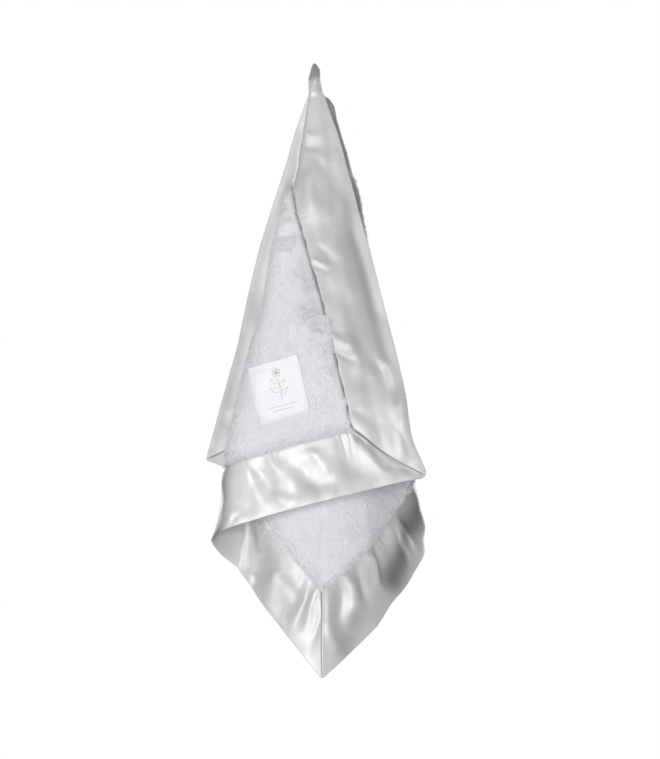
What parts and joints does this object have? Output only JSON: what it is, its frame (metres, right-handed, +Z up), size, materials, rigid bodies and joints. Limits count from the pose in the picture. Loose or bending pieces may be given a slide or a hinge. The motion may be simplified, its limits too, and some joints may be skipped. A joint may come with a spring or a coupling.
{
  "type": "comfort blanket",
  "caption": "Square plush comfort blanket with wide mitred satin binding and a small woven label, hanging folded from one corner.",
  "frame": {"origin": "the point in the folded cloth where a peg holds it, 60 mm below the tip of the hung corner and straight under it", "axes": "+Z up, from the cloth's lowest corner to its hung corner; +Y back, through the three layers, away from the layer with the label; +X to the right as seen from the label's side"},
  "size_m": [0.1852, 0.1202, 0.4997],
  "materials": {
    "plush": "short soft light grey plush pile",
    "satin": "silky light grey satin, folded over the edge",
    "seam_thread": "light grey sewing thread",
    "label": "white damask woven ribbon",
    "label_thread": "white sewing thread"
  },
  "bodies": {
    "root": {"plush_front_panel": "plush", "plush_back_panel": "plush", "satin_binding_front_upper": "satin", "satin_binding_front_lower": "satin", "satin_binding_back_upper": "satin", "satin_binding_back_lower": "satin", "mitre_stitching_hung_corner": "seam_thread", "mitre_stitching_front_corner": "seam_thread", "mitre_stitching_low_corner": "seam_thread", "mitre_stitching_back_corner": "seam_thread", "seam_stitching_front": "seam_thread", "seam_stitching_back": "seam_thread", "woven_label": "label", "label_stitching": "label_thread"}
  },
  "joints": []
}
